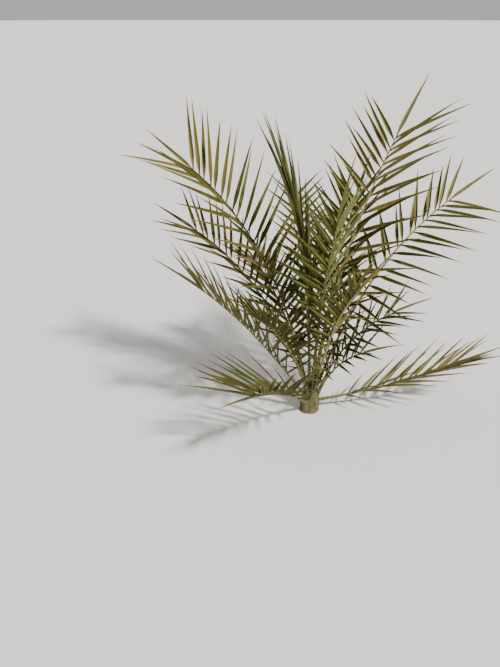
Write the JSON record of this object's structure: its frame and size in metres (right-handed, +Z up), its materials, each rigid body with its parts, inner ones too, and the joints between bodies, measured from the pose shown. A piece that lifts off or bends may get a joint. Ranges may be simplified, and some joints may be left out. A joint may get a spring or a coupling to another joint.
{
  "type": "young date palm tree",
  "caption": "Young date palm with a short stump, arching feather-shaped fronds of stiff pointed leaflets and a closed spear, rooted in level ground.",
  "frame": {"origin": "middle of the flat cut under the stump, at ground level", "axes": "+Z up, +Y away from the viewer of the picture, +X to the viewer's right"},
  "size_m": [1.4155, 1.2191, 1.2118],
  "materials": {
    "bark": "rough fibrous leaf bases, dull",
    "young_leaf": "smooth closed leaf, low sheen",
    "frond": "stiff waxy leaflets, low sheen, dry tan tips"
  },
  "bodies": {
    "root": {"trunk": "bark", "spear": "young_leaf", "frond_tall_right": "frond", "frond_arching_left": "frond", "frond_arching_right": "frond", "frond_young_left": "frond", "frond_upright_front": "frond", "frond_back_right": "frond", "frond_back": "frond", "frond_low_arch_left": "frond", "frond_side_left": "frond", "frond_side_right": "frond", "frond_middle_right": "frond", "frond_short_right": "frond", "frond_short_left": "frond", "frond_low_back_left": "frond", "frond_low_back_right": "frond", "frond_low_right": "frond", "frond_low_left": "frond"}
  },
  "joints": []
}
